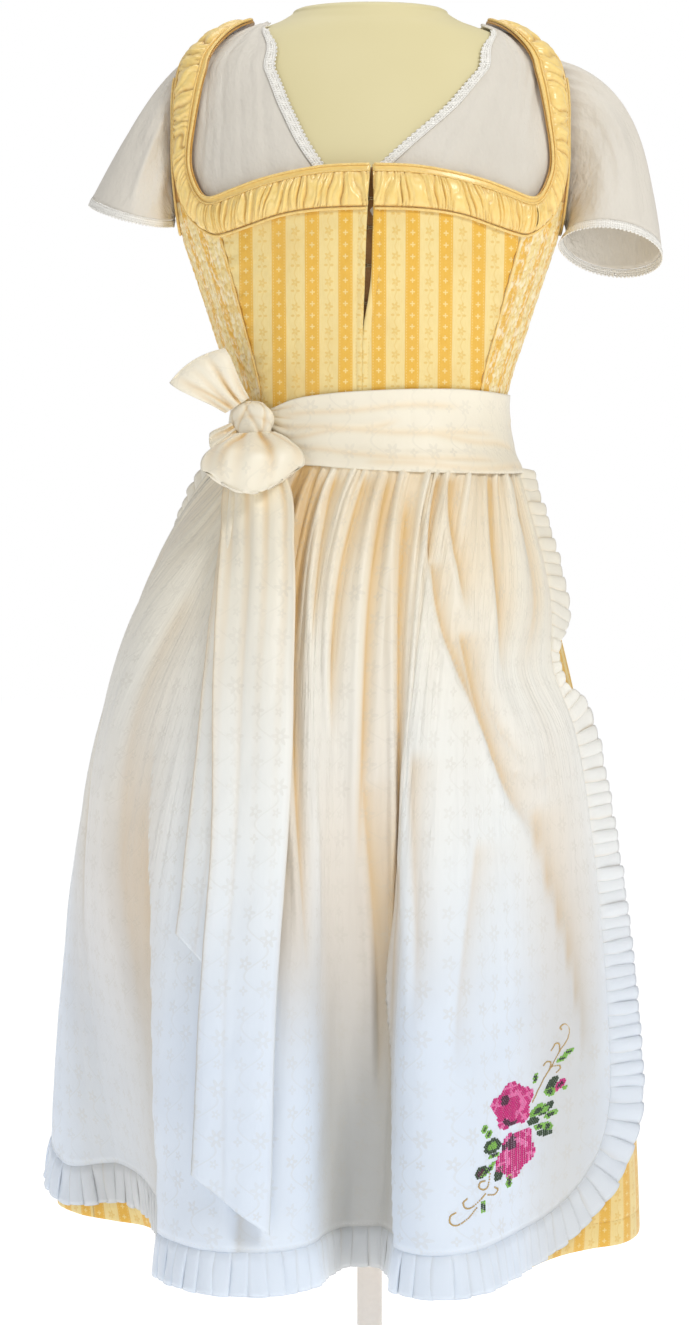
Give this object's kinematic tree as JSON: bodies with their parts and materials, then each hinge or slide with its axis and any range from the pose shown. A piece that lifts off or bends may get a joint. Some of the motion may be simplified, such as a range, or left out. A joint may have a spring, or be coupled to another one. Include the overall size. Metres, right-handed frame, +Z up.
{
  "type": "dirndl dress on dress form",
  "caption": "Knee-length dirndl dress with short-sleeved blouse, ruched neckline trim, gathered skirt and ruffled apron with a side bow, standing on a limbless dress form.",
  "frame": {"origin": "centre of the underside of the stand's base, on the floor", "axes": "+Z up along the pole, the front of the dress faces -Y, +X is the wearer's left"},
  "size_m": [0.6148, 0.6064, 1.4655],
  "materials": {
    "form_cover": "smooth cream jersey cover",
    "white_metal": "white powder coat",
    "hook_metal": "dull gilt wire",
    "white_cotton": "plain white cotton",
    "white_lace": "narrow white cotton lace",
    "yellow_brocade": "yellow striped jacquard with small woven flowers",
    "gold_satin": "gold satin",
    "pale_piping": "pale gold satin piping",
    "dark_gold": "dark gold satin under-lap",
    "ivory_jacquard": "ivory jacquard with a tone-on-tone flower weave",
    "ivory_taffeta": "ivory taffeta, pleated"
  },
  "bodies": {
    "root": {"apron_panel": "ivory_jacquard", "apron_ruffle_hem": "ivory_taffeta", "apron_ruffle_left": "ivory_taffeta", "apron_ruffle_right": "ivory_taffeta", "apron_waistband": "ivory_jacquard", "blouse_back": "white_cotton", "blouse_front_left": "white_cotton", "blouse_front_right": "white_cotton", "blouse_lace_cuff_left": "white_lace", "blouse_lace_cuff_right": "white_lace", "blouse_lace_neck_left": "white_lace", "blouse_lace_neck_right": "white_lace", "blouse_sleeve_left": "white_cotton", "blouse_sleeve_right": "white_cotton", "bodice_back": "yellow_brocade", "bodice_front_left": "yellow_brocade", "bodice_front_right": "yellow_brocade", "bodice_placket": "dark_gold", "bodice_side_left": "yellow_brocade", "bodice_side_right": "yellow_brocade", "bow_knot": "ivory_jacquard", "bow_loop_lower": "ivory_jacquard", "bow_loop_side": "ivory_jacquard", "bow_loop_upper": "ivory_jacquard", "bow_tail_back": "ivory_jacquard", "bow_tail_front": "ivory_jacquard", "form_base": "white_metal", "form_pole": "white_metal", "form_torso": "form_cover", "hook_1": "hook_metal", "hook_2": "hook_metal", "hook_3": "hook_metal", "hook_4": "hook_metal", "hook_5": "hook_metal", "piping_armhole_left": "pale_piping", "piping_armhole_right": "pale_piping", "piping_band_left": "pale_piping", "piping_band_right": "pale_piping", "piping_neck_left": "pale_piping", "piping_neck_right": "pale_piping", "piping_seam_left": "pale_piping", "piping_seam_right": "pale_piping", "ruche_front_left": "gold_satin", "ruche_front_right": "gold_satin", "ruche_strap_left": "gold_satin", "ruche_strap_right": "gold_satin", "skirt_back": "yellow_brocade", "skirt_front": "yellow_brocade", "strap_left": "gold_satin", "strap_right": "gold_satin"}
  },
  "joints": []
}
